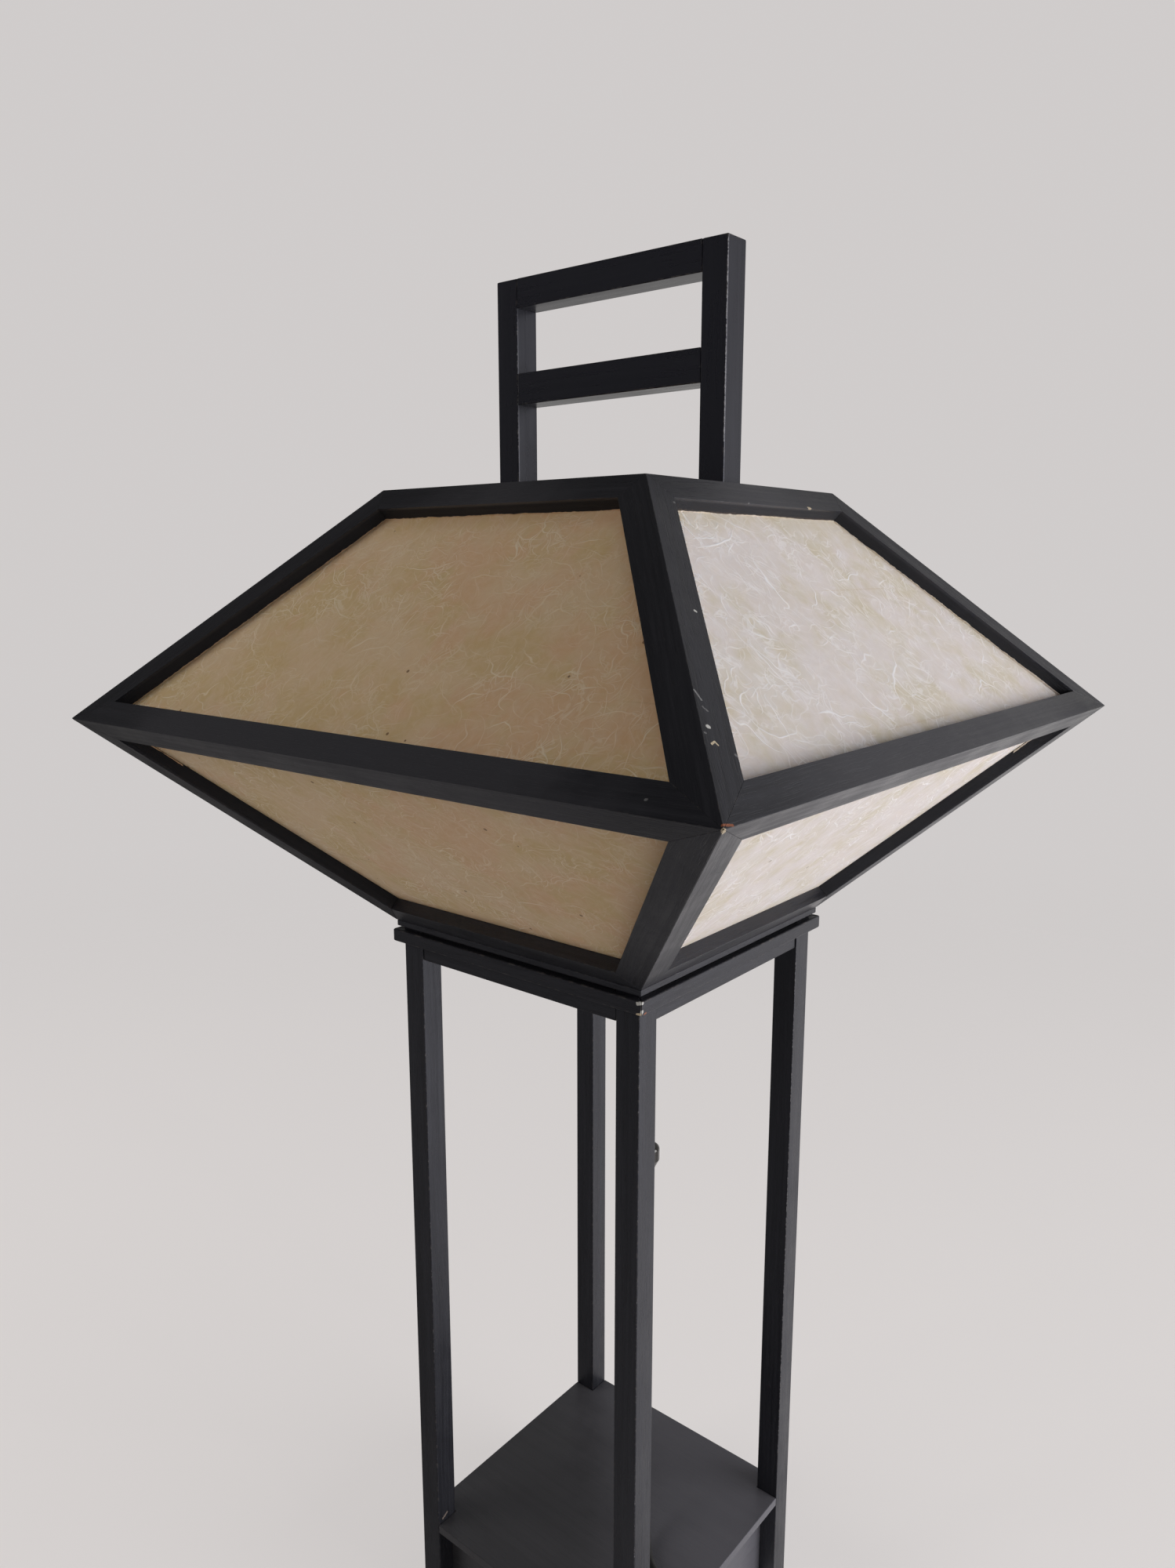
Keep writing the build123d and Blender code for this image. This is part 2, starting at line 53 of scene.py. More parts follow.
# The places that part.py has too, in metres
CORD_RADIUS = 0.0025
CORD_ROUTE = [
    (0.008, 0.006, 0.4815),
    (0.008, 0.006, 0.452),
    (0.0108, 0.0026, 0.408),
    (0.013, 0.0032, 0.355),
    (0.0116, 0.0074, 0.3),
    (0.0094, 0.0082, 0.244),
    (0.0114, 0.007, 0.196),
    (0.018, 0.0084, 0.158),
    (0.0255, 0.0082, 0.127),
    (0.032, 0.003, 0.104),
    (0.0405, -0.0085, 0.091),
    (0.0515, -0.0225, 0.0882),
    (0.066, -0.032, 0.0882),
    (0.084, -0.0385, 0.0892),
    (0.103, -0.044, 0.0855),
    (0.116, -0.0485, 0.0695),
    (0.1195, -0.052, 0.049),
    (0.1225, -0.055, 0.031),
    (0.1295, -0.058, 0.015),
    (0.1405, -0.0605, 0.0055),
    (0.155, -0.062, 0.0025),
]
COIL_CENTRE = (0.172, -0.027)
COIL_RADII = (0.035, 0.03, 0.025)
PLUG_TAIL_TIP = (0.209, -0.011, 0.007)
PULL = 0.0263 / math.sqrt(2)  # the pull string's x and y
STRING_RADIUS = 0.001
KNOB_TOP = 0.358
BEAD_CENTRE = 0.5352
WAIST_LEVEL = 0.65
WAIST_HALF = 0.2275
SLOPE_RUN = 0.132  # the shade's slopes run as far inwards as they rise or fall
SLAT_WIDTH = 0.016
SLAT_THICKNESS = 0.0082
BULB_CAP_TOP = 0.5646
BUSH_RIBS_TOP = 0.508
PLUG_BLADES_FROM = 0.03905
PLUG_GRIP = (0.0135, 0.0295)

# Finish
THREAD_PITCH = 0.0036
GRIP_RIB_PITCH = 0.0028
BRAID_PITCH = 0.0030
MARGIN_THICKNESS = 0.00023  # of the papers' torn margins
MARGIN_GAP = 0.00005  # between a margin and the slat that it lies against
MARGIN_STEP = 0.0012  # between two corners along its torn edge

# The photograph's viewpoint, found by fitting a camera to the lamp's corners in it
CAMERA_PLACE = (0.4282, -0.5451, 0.7374)
CAMERA_TOWARDS = (-0.62291, 0.75925, -0.18847)
SENSOR_MILLIMETRES = 36.0
LENS_MILLIMETRES = 34.487

# The floor, and how far from its centre it starts and ends to fade
FLOOR_RADIUS = 4.0
FLOOR_FADES = (0.9, 2.6)

# The room's light: brightest towards this side
BRIGHT_SIDE = (0.655, 0.756, 0.0)
ROOM_DARK = 0.17
ROOM_BRIGHT = 0.70
ROOM_ABOVE = 0.45  # the share of that light from above
LIGHTS_AIM = (0.0, 0.0, 0.6)


# Camera --------------------------------------------------------------------------------------


def make_camera():
    """The photograph's viewpoint, for a frame of 1499 by 2000."""
    data = bpy.data.cameras.new("camera")
    data.sensor_fit = "HORIZONTAL"
    data.sensor_width = SENSOR_MILLIMETRES
    data.lens = LENS_MILLIMETRES
    data.clip_start = 0.02
    camera = bpy.data.objects.new("camera", data)
    camera.location = CAMERA_PLACE
    camera.rotation_mode = "QUATERNION"
    camera.rotation_quaternion = Vector(CAMERA_TOWARDS).to_track_quat("-Z", "Y")
    bpy.context.scene.collection.objects.link(camera)
    bpy.context.scene.camera = camera


# Cords ---------------------------------------------------------------------------------------


def line(name, points, radius):
    """A round cord on one smooth spline."""
    curve = bpy.data.curves.new(name, "CURVE")
    curve.dimensions = "3D"
    spline = curve.splines.new("NURBS")
    spline.points.add(len(points) - 1)
    for point, place in zip(spline.points, points):
        point.co = (*place, 1.0)
        point.radius = radius
    spline.order_u = 3
    spline.use_endpoint_u = True
    curve.resolution_u = 10
    curve.bevel_depth = 1.0
    curve.bevel_resolution = 5
    curve.use_fill_caps = True
    obj = bpy.data.objects.new(name, curve)
    bpy.context.scene.collection.objects.link(obj)
    return obj


def eased(value, low, high):
    """0 below low, 1 above high, smooth between them."""
    share = min(max((value - low) / (high - low), 0.0), 1.0)
    return share * share * (3.0 - 2.0 * share)


def coil_points():
    """Six turns: inwards on the floor, outwards on top of them, then off beside the outer turn."""
    steps = 16
    outer, middle, inner = COIL_RADII
    points = []
    for step in range(1, round(6.25 * steps) + 1):
        turn = step / steps
        radius = outer - (outer - middle) * eased(turn, 0.8, 1.0) - (middle - inner) * eased(turn, 1.8, 2.0)
        radius += (middle - inner) * eased(turn, 4.08, 4.33) + (outer - middle) * eased(turn, 5.08, 5.33)
        radius += 0.0035 * eased(turn, 6.0, 6.18)
        level = CORD_RADIUS * (1.0 + 2.0 * eased(turn, 2.5, 2.78) - 0.6 * eased(turn, 6.0, 6.18))
        angle = 2.0 * math.pi * turn - math.pi / 2.0
        radius /= math.cos(math.pi / steps)
        x, y = COIL_CENTRE
        points.append((x + radius * math.cos(angle), y + radius * math.sin(angle), level))
    return points


def make_cords():
    """The mains cord with its coil, and the pull string."""
    x, y, z = PLUG_TAIL_TIP
    entry = (COIL_CENTRE[0], COIL_CENTRE[1] - COIL_RADII[0], CORD_RADIUS)
    route = [*CORD_ROUTE, entry, *coil_points(), (x + 0.0004, y - 0.008, z - 0.0003), (x, y + 0.002, z)]
    cord = line("mains_cord", route, CORD_RADIUS)
    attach(cord, "stand")
    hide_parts("power_cord", "cord_coil")
    cord.data.materials.append(cord_sheath("cord_sheath"))

    string = line("pull_cord", [(PULL, PULL, z) for z in (BEAD_CENTRE, 0.48, 0.42, KNOB_TOP)],
                  STRING_RADIUS)
    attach(string, "pull")
    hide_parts("pull_string")
    string.data.materials.append(braid("string_braid"))


# Materials -----------------------------------------------------------------------------------


class Tree:
    """Short calls that build one material's nodes."""

    def __init__(self, name):
        self.material = bpy.data.materials.new(name)
        self.material.use_nodes = True
        self.tree = self.material.node_tree
        self.tree.nodes.clear()
        self.place = self.add("TexCoord").outputs["Object"]

    def add(self, kind, settings=None, **values):
        node = self.tree.nodes.new("ShaderNode" + kind)
        for key, value in (settings or {}).items():
            setattr(node, key, value)
        for key, value in values.items():
            self.set(node.inputs[key.replace("_", " ")], value)
        return node

    def set(self, socket, value):
        if isinstance(value, bpy.types.NodeSocket):
            self.tree.links.new(value, socket)
        elif isinstance(value, (tuple, list)) and len(value) == 3 and socket.type == "RGBA":
            socket.default_value = (*value, 1.0)
        else:
            socket.default_value = value

    def math(self, operation, first, second=0.0, clamp=False):
        node = self.add("Math", {"operation": operation, "use_clamp": clamp})
        self.set(node.inputs[0], first)
        self.set(node.inputs[1], second)
        return node.outputs[0]

    def vector(self, operation, first, second=(0.0, 0.0, 0.0)):
        node = self.add("VectorMath", {"operation": operation})
        self.set(node.inputs[0], first)
        self.set(node.inputs[1], second)
        return node.outputs["Value" if operation in ("DISTANCE", "LENGTH", "DOT_PRODUCT") else "Vector"]

    def parts(self, vector):
        return self.add("SeparateXYZ", Vector=vector).outputs

    def noise(self, vector, scale, detail=2.0, roughness=0.5, output="Fac"):
        node = self.add("TexNoise", Vector=vector, Scale=scale, Detail=detail, Roughness=roughness)
        return node.outputs[output]

    def stretched(self, vector, factors, detail=2.0, roughness=0.5):
        """Noise that is finer along some axes than along others."""
        return self.noise(self.vector("MULTIPLY", vector, factors), 1.0, detail, roughness)

    def ramp(self, value, low, high, to_low=0.0, to_high=1.0):
        node = self.add("MapRange", {"interpolation_type": "SMOOTHSTEP", "clamp": True}, Value=value,
                        From_Min=low, From_Max=high, To_Min=to_low, To_Max=to_high)
        return node.outputs["Result"]

    def swing(self, value, width):
        """A value from 0 to 1 as a swing of this width about 0."""
        return self.math("MULTIPLY", self.math("SUBTRACT", value, 0.5), width)

    def waves(self, value, pitch):
        """Ridges along a value."""
        return self.math("SINE", self.math("MULTIPLY", value, 2.0 * math.pi / pitch))

    def mixture(self, first, share, second, other_share):
        """Two values added up, each times its share."""
        terms = (self.math("MULTIPLY", first, share), self.math("MULTIPLY", second, other_share))
        return self.math("ADD", *terms)

    def blend(self, share, first, second):
        node = self.add("Mix", {"data_type": "RGBA"})
        self.set(node.inputs[0], share)
        self.set(node.inputs[6], first)
        self.set(node.inputs[7], second)
        return node.outputs[2]

    def most(self, *values):
        result = values[0]
        for value in values[1:]:
            result = self.math("MAXIMUM", result, value)
        return result

    def bump(self, height, strength, distance, normal=None):
        node = self.add("Bump", Strength=strength, Distance=distance, Height=height)
        if normal is not None:
            self.set(node.inputs["Normal"], normal)
        return node.outputs["Normal"]

    def finish(self, **values):
        """The one surface shader, with its values; a key's underscores are spaces."""
        shader = self.add("BsdfPrincipled", **values)
        output = self.add("OutputMaterial")
        self.tree.links.new(shader.outputs["BSDF"], output.inputs["Surface"])
        return self.material


def stroke(tree, start, end, radius, ragged):
    """1 inside a ragged stroke between two points, 0 outside."""
    start, end = Vector(start), Vector(end)
    along = end - start
    reach = tree.vector("DOT_PRODUCT", tree.vector("SUBTRACT", tree.place, tuple(start)),
                        tuple(along / along.length_squared))
    share = tree.math("MULTIPLY", reach, 1.0, clamp=True)
    nearest = tree.vector("ADD", tree.vector("MULTIPLY", share, tuple(along)), tuple(start))
    away = tree.vector("DISTANCE", tree.place, nearest)
    uneven = tree.swing(tree.noise(tree.place, 700.0, 3.0), ragged)
    return tree.ramp(tree.math("ADD", away, uneven), radius * 1.15, radius * 0.75)


# Marks in the paint, and painted highlights along some arrises: both ends, the radius, how ragged and how
# strong, and the ground or the highlight that shows
CREAM = (0.50, 0.42, 0.30)
WHITE = (0.52, 0.52, 0.50)
SMOKE = (0.22, 0.22, 0.225)
RED_BROWN = (0.26, 0.085, 0.035)
BROWN = (0.085, 0.060, 0.045)
BUFF = (0.20, 0.16, 0.135)
# The colour of a painted highlight, for the bright lines along the posts' arrises
ARRIS_HIGHLIGHT = (0.33, 0.33, 0.35)
MARKS = [
    ((0.0948, -0.0975, 0.5132), (0.0975, -0.0965, 0.5138), 0.0010, 0.0012, 0.9, WHITE),
    ((0.0974, -0.0975, 0.5125), (0.0975, -0.0975, 0.5092), 0.0004, 0.0006, 0.8, CREAM),
    ((0.0975, -0.0968, 0.5090), (0.0975, -0.0975, 0.5082), 0.0010, 0.0012, 0.9, WHITE),
    ((0.0968, -0.0975, 0.5076), (0.0945, -0.0975, 0.5068), 0.0009, 0.0010, 0.9, CREAM),
    ((0.0975, -0.0950, 0.5070), (0.0975, -0.0935, 0.5075), 0.0006, 0.0008, 0.8, RED_BROWN),
    ((0.1861, -0.1853, 0.6914), (0.1897, -0.1856, 0.6878), 0.0005, 0.0006, 0.75, SMOKE),
    ((0.1919, -0.1880, 0.6856), (0.1935, -0.1870, 0.6840), 0.0005, 0.0009, 0.45, SMOKE),
    ((0.1983, -0.1940, 0.6792), (0.1984, -0.1935, 0.6791), 0.0010, 0.0009, 0.85, WHITE),
    ((0.1999, -0.1985, 0.6776), (0.2001, -0.1980, 0.6774), 0.0005, 0.0008, 0.5, SMOKE),
    ((0.2037, -0.1993, 0.6738), (0.2032, -0.1967, 0.6743), 0.0005, 0.0005, 0.9, CREAM),
    ((0.2032, -0.1967, 0.6743), (0.2044, -0.1962, 0.6731), 0.0005, 0.0005, 0.9, CREAM),
    ((0.2086, -0.1902, 0.6689), (0.2090, -0.1896, 0.6685), 0.0007, 0.0009, 0.5, SMOKE),
    ((0.2262, -0.2266, 0.6513), (0.2271, -0.2211, 0.6504), 0.0006, 0.0008, 0.8, RED_BROWN),
    ((0.2275, -0.2275, 0.6500), (0.2256, -0.2242, 0.6481), 0.0010, 0.0014, 0.85, CREAM),
    ((0.1579, -0.1440, 0.7196), (0.1581, -0.1437, 0.7194), 0.0008, 0.0008, 0.8, WHITE),
    ((0.1062, -0.0183, 0.7713), (0.1080, -0.0216, 0.7695), 0.0003, 0.0003, 0.8, SMOKE),
    ((0.1093, -0.0914, 0.7682), (0.1094, -0.0909, 0.7681), 0.0006, 0.0008, 0.5, SMOKE),
    ((0.1065, 0.0462, 0.7710), (0.1066, 0.0482, 0.7709), 0.0010, 0.0012, 0.85, CREAM),
    ((0.1016, -0.0860, 0.7655), (0.1016, 0.0860, 0.7655), 0.0004, 0.0026, 0.5, BROWN),
    ((0.1907, -0.2226, 0.6549), (0.1912, -0.2226, 0.6549), 0.0006, 0.0008, 0.5, SMOKE),
    ((0.1224, 0.0496, 0.5465), (0.1225, 0.0504, 0.5466), 0.0012, 0.0012, 0.85, WHITE),
    ((-0.0765, -0.0885, 0.0880), (-0.0765, -0.0845, 0.0900), 0.0008, 0.0010, 0.8, BUFF),
    # Painted highlights: bright lines down the arrises of the handle posts and the stand posts
    ((0.0839, -0.0090, 0.9085), (0.0839, -0.0090, 0.8050), 0.0005, 0.0009, 0.8, ARRIS_HIGHLIGHT),
    ((-0.0674, -0.0090, 0.8920), (-0.0674, -0.0090, 0.8000), 0.0004, 0.0009, 0.7, ARRIS_HIGHLIGHT),
    ((0.0925, -0.0925, 0.5000), (0.0925, -0.0925, 0.1000), 0.0002, 0.0012, 0.5, ARRIS_HIGHLIGHT),
    ((-0.0765, -0.0925, 0.4900), (-0.0765, -0.0925, 0.1200), 0.0002, 0.0012, 0.4, ARRIS_HIGHLIGHT),
    ((0.0925, 0.0765, 0.4900), (0.0925, 0.0765, 0.1200), 0.0002, 0.0012, 0.4, ARRIS_HIGHLIGHT),
]


MARK_REACH = 0.001  # a mark also shows on a piece this near


def marks_on(low, high):
    """The marks that touch a box."""
    return [mark for mark in MARKS
            if all(max(a, b) >= bottom - MARK_REACH and min(a, b) <= top + MARK_REACH
                   for a, b, bottom, top in zip(mark[0], mark[1], low, high))]


# Paints: the darkest and the palest streaks
PAINT = ((0.0092, 0.0094, 0.0120), (0.0192, 0.0195, 0.0240))
POST_PAINT = ((0.0105, 0.0109, 0.0142), (0.0205, 0.0213, 0.0268))
HANDLE_PAINT = ((0.0104, 0.0106, 0.0155), (0.0128, 0.0130, 0.0184))
SHELF_PAINT = ((0.040, 0.040, 0.046), (0.072, 0.072, 0.081))
PORE = (0.0042, 0.0042, 0.005)
# Painted shade in the slats' recesses, on their inner sides
INNER_SIDE_SHADE = (0.0035, 0.0035, 0.004)
# Rubbed paint on the softened edges, paler partly as a painted highlight along the arrises
WORN_AND_SHEEN = (0.070, 0.063, 0.060)
DUST = (0.040, 0.040, 0.046)
# Painted light: the shelf's tone, darker away from the window and paler towards it
SHELF_WINDOW_LIGHT = ((0.044, 0.044, 0.047), (0.125, 0.125, 0.145))  # away from the window, and towards it


def wood(name, direction=None, worn=False, marks=(), tones=PAINT, slat=False):
    """Black painted wood, satin, with its grain along the direction, or round a frame with none.

    worn is for the softened edges, where the paint is rubbed thin and paler, which also stands in
    as a painted highlight along them. A slat of the shade is matt and darker on its inner sides, the
    darkening being painted shade in its recess, and greyer with dust away from the corners. Hands have
    polished the handle smooth, and the shelf's board has hardly any grain. The shelf and the base
    panels are paler towards the window: painted light."""
    tree = Tree(name)
    polished = tones is HANDLE_PAINT
    if direction is None:
        x, y, z = tree.parts(tree.place)
        along_x = tree.math("GREATER_THAN", tree.math("ABSOLUTE", y), tree.math("ABSOLUTE", x))
        swapped = tree.add("CombineXYZ", X=y, Y=x, Z=z).outputs[0]
        mix = tree.add("Mix", {"data_type": "VECTOR"})
        tree.set(mix.inputs[0], along_x)
        tree.set(mix.inputs[4], swapped)
        tree.set(mix.inputs[5], tree.place)
        grain_place = mix.outputs[1]
    else:
        turn = Vector((1.0, 0.0, 0.0)).rotation_difference(Vector(direction).normalized()).to_euler()
        grain_place = tree.add("Mapping", {"vector_type": "TEXTURE"}, Vector=tree.place,
                               Rotation=tuple(turn)).outputs[0]
    wavy = tree.vector("ADD", grain_place, tree.vector(
        "MULTIPLY", tree.noise(grain_place, 9.0, 2.0, output="Color"), (0.0, 0.006, 0.006)))
    figure = tree.stretched(wavy, (7.0, 420.0, 420.0), 4.0, 0.6)
    streaks = tree.stretched(wavy, (3.0, 110.0, 110.0), 3.0, 0.55)
    pores = tree.ramp(tree.stretched(wavy, (70.0, 1900.0, 1900.0)), 0.56, 0.70)
    brush_marks = tree.stretched(wavy, (90.0, 330.0, 330.0), 4.0, 0.7)
    brushed = tree.noise(tree.place, 30.0, 4.0, 0.6)

    dark, light = tones
    colour = tree.blend(tree.ramp(tree.mixture(figure, 0.55, streaks, 0.45), 0.36, 0.66), dark, light)
    colour = tree.blend(tree.math("MULTIPLY", pores, 0.1 if polished else 0.45), colour, PORE)
    # Paler, patchy edges: rubbed paint, and also a painted highlight along the arrises
    if worn:
        rubbed = tree.ramp(tree.noise(tree.place, 260.0, 4.0, 0.65), 0.50, 0.62)
        colour = tree.blend(tree.math("MULTIPLY", rubbed, 0.55), colour, WORN_AND_SHEEN)
    smoothest, roughest = (0.26, 0.33) if polished else (0.30, 0.48)
    roughness = tree.ramp(tree.mixture(figure, 0.5, brushed, 0.5), 0.35, 0.65, smoothest, roughest)
    # Painted light: the shelf and the base panels are paler on the side towards the window
    if tones is SHELF_PAINT:
        to_window = tree.vector("DOT_PRODUCT", tree.place, BRIGHT_SIDE)
        window_light = tree.ramp(tree.math("ADD", to_window, tree.swing(brushed, 0.06)), -0.05, 0.08)
        colour = tree.blend(0.75, colour, tree.blend(window_light, *SHELF_WINDOW_LIGHT))
    if slat:
        x, y, z = tree.parts(tree.place)
        farther = tree.math("MAXIMUM", tree.math("ABSOLUTE", x), tree.math("ABSOLUTE", y))
        nearer = tree.math("MINIMUM", tree.math("ABSOLUTE", x), tree.math("ABSOLUTE", y))
        from_hip = tree.math("ADD", tree.math("SUBTRACT", farther, nearer), tree.swing(brushed, 0.10))
        colour = tree.blend(tree.ramp(from_hip, 0.020, 0.110, 0.0, 0.80), colour, DUST)
        # Painted shade: darker on the slat's inner sides, in the recess behind its outer face
        out = tree.math("ADD", farther, tree.math("ABSOLUTE", tree.math("SUBTRACT", z, WAIST_LEVEL)))
        inner = tree.ramp(out, WAIST_HALF - 0.0010, WAIST_HALF - 0.0030)
        colour = tree.blend(tree.math("MULTIPLY", inner, 0.7), colour, INNER_SIDE_SHADE)
        roughness = tree.math("ADD", roughness, tree.math("MULTIPLY", inner, 0.35))
    # Chips in the paint, and painted highlights along some arrises
    for start, end, radius, ragged, strength, bare in marks:
        chip_or_highlight = tree.math("MULTIPLY", stroke(tree, start, end, radius, ragged), strength)
        colour = tree.blend(chip_or_highlight, colour, bare)
        roughness = tree.math("MAXIMUM", roughness, tree.math("MULTIPLY", chip_or_highlight, 0.85))
    height = tree.math("SUBTRACT", tree.math("ADD", tree.math("MULTIPLY", figure, 0.7), streaks), pores)
    height = tree.math("ADD", height, tree.math("MULTIPLY", brush_marks, 1.2))
    relief = 0.05 if polished else 0.15 if tones is SHELF_PAINT else 0.35
    normal = tree.bump(height, relief, 0.00035)
    return tree.finish(Base_Color=colour, Roughness=roughness, Normal=normal, IOR=1.5,
                       Specular_Tint=(0.84, 0.87, 1.0))


def panel_place(tree):
    """A point's place on its own sheet of paper: along the sheet, and up its slope."""
    x, y, z = tree.parts(tree.place)
    facing = tree.math("GREATER_THAN", tree.math("ABSOLUTE", y), tree.math("ABSOLUTE", x))
    back = tree.math("MULTIPLY", tree.math("GREATER_THAN", y, 0.0), 2.3)
    right = tree.math("ADD", tree.math("MULTIPLY", tree.math("GREATER_THAN", x, 0.0), 4.7), 1.1)
    mix = tree.add("Mix", {"data_type": "FLOAT"})
    tree.set(mix.inputs[0], facing)
    tree.set(mix.inputs[2], tree.math("ADD", y, right))
    tree.set(mix.inputs[3], tree.math("ADD", x, back))
    return tree.add("CombineXYZ", X=mix.outputs[0], Y=tree.math("MULTIPLY", z, 1.41)).outputs[0]


def strokes(tree, place, offset, cells, half, width, curl, keep):
    """One bent, tapering fibre in each cell of a random pattern: 1 on the fibre, 0 beside it.

    offset picks the pattern, cells is how many of them a metre has, half is half a fibre's
    length, curl how strongly it can bend, and keep the share of the cells that have none."""
    shifted = tree.vector("ADD", place, (offset, 1.7 * offset, 0.0))
    cell = tree.add("TexVoronoi", {"voronoi_dimensions": "2D"}, Vector=shifted, Scale=cells)
    turn, bend, chance = tree.add("SeparateColor", Color=cell.outputs["Color"]).outputs
    local = tree.vector("SUBTRACT", shifted, cell.outputs["Position"])
    turned = tree.add("VectorRotate", {"rotation_type": "Z_AXIS"}, Vector=local,
                      Angle=tree.math("MULTIPLY", turn, 2.0 * math.pi)).outputs[0]
    along, aside, _ = tree.parts(turned)
    arc = tree.math("MULTIPLY", tree.math("MULTIPLY", along, along), tree.swing(bend, 2.0 * curl))
    away = tree.math("ABSOLUTE", tree.math("SUBTRACT", aside, arc))
    reach = tree.math("DIVIDE", along, half)
    taper = tree.math("SUBTRACT", 1.0, tree.math("MULTIPLY", reach, reach))
    drawn = tree.math("SUBTRACT", taper, tree.math("DIVIDE", away, width), clamp=True)
    return tree.math("MULTIPLY", drawn, tree.math("GREATER_THAN", chance, keep))


# The papers that face the window, and a darker, warmer copy of the same paper for the front and left,
# which is painted shade. edge is the colour beside the slats, painted shade that they cast, clean the share
# without flecks, lively, from 0 to 1, how plainly the fibres show, and fine how much shorter and thinner
# they are.
BRIGHT_PAPER = {
    "pale": (0.605, 0.537, 0.49), "yellow": (0.51, 0.440, 0.330), "rosy": (0.625, 0.548, 0.535),
    "fibre": (0.89, 0.85, 0.86), "browning": (0.45, 0.33, 0.20), "edge": (0.50, 0.43, 0.30),
    "clean": 0.985, "lively": 1.0, "fine": 1.1,
}
# The same paper, darker and warmer, for the sides in shade: painted shade
SHADED_SIDE_PAPER = {
    "pale": (0.615, 0.43, 0.275), "yellow": (0.55, 0.385, 0.205), "rosy": (0.605, 0.375, 0.235),
    "fibre": (0.82, 0.71, 0.55), "browning": (0.36, 0.20, 0.11), "edge": (0.47, 0.29, 0.16),
    "clean": 0.93, "lively": 0.75, "fine": 1.5,
}


